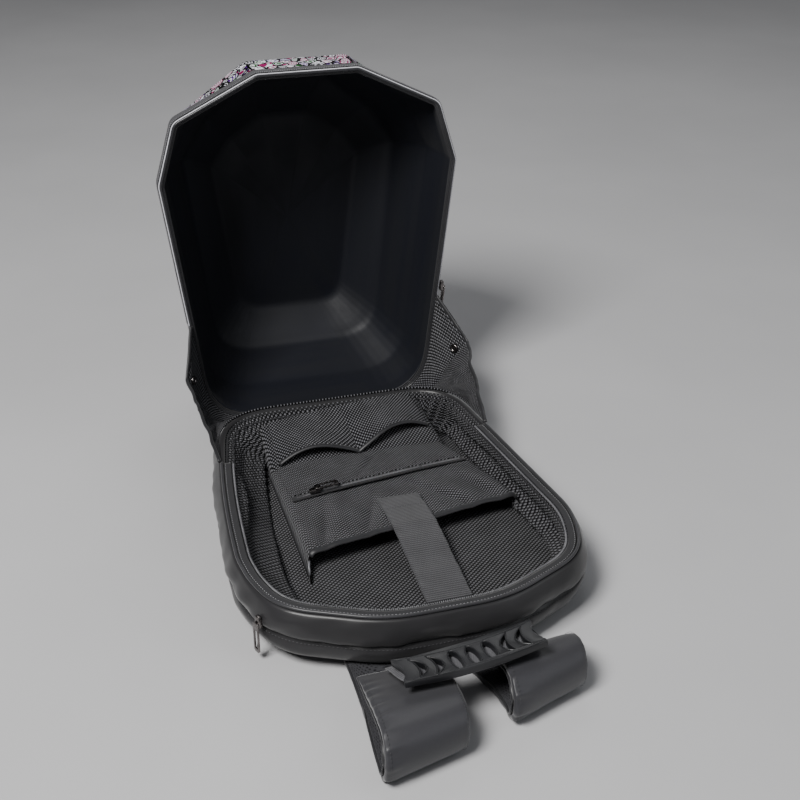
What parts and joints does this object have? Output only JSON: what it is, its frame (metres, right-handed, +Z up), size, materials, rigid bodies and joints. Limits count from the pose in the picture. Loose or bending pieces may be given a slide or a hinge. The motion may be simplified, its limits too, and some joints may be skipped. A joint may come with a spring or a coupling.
{
  "type": "hard-shell motorcycle helmet backpack, lying open",
  "caption": "Faceted hard-shell backpack for a motorcycle helmet, open like a clamshell: padded tray with organiser and straps on the floor, printed shell upright behind it.",
  "frame": {"origin": "on the floor under the middle of the tray, on the flat underside of the lumbar pad", "axes": "+X across the bag to the right as the picture shows it, +Y from the tray towards the upright shell, +Z up from the floor"},
  "size_m": [0.3414, 0.7695, 0.4092],
  "materials": {
    "shell_print": "printed film under a clear gloss coat",
    "smooth_lining": "smooth dark lining cloth",
    "woven_lining": "coarse diamond-woven nylon",
    "body_cloth": "fine coated cloth, slightly satin",
    "strap_cloth": "fine coated cloth, slightly satin",
    "strap_mesh": "open knitted spacer mesh",
    "webbing": "ribbed nylon webbing",
    "zip_tape": "woven zip tape",
    "piping": "smooth coated piping",
    "zip_teeth": "nylon coil",
    "gunmetal": "polished gunmetal plating",
    "grip_rubber": "satin moulded rubber",
    "buckle_plastic": "satin moulded plastic"
  },
  "bodies": {
    "root": {"hard_shell": "shell_print", "shell_lining": "smooth_lining", "shell_rim_band": "zip_tape", "shell_zip_teeth": "zip_teeth", "shell_piping": "piping", "gusset_left": "woven_lining", "gusset_right": "woven_lining", "base_gusset": "woven_lining", "snap_left": "gunmetal", "snap_right": "gunmetal", "tray_wall": "body_cloth", "back_panel": "body_cloth", "lumbar_pad": "strap_mesh", "tray_lining": "woven_lining", "tray_piping": "piping", "tray_zip_tape": "zip_tape", "tray_zip_teeth": "zip_teeth", "outer_zip_slider": "gunmetal", "outer_zip_pull": "gunmetal", "main_zip_slider": "gunmetal", "main_zip_pull": "gunmetal", "laptop_sleeve": "woven_lining", "zip_pocket": "woven_lining", "pocket_zip_tape": "zip_tape", "pocket_zip_slider": "gunmetal", "pocket_zip_pull": "gunmetal", "upper_pocket": "woven_lining", "sleeve_band": "webbing", "strap_left": "strap_cloth", "strap_left_mesh": "strap_mesh", "strap_right": "strap_cloth", "strap_right_mesh": "strap_mesh", "buckle_left": "buckle_plastic", "webbing_left": "webbing", "buckle_right": "buckle_plastic", "webbing_right": "webbing", "handle_grip": "grip_rubber", "handle_webbing": "webbing"}
  },
  "joints": []
}
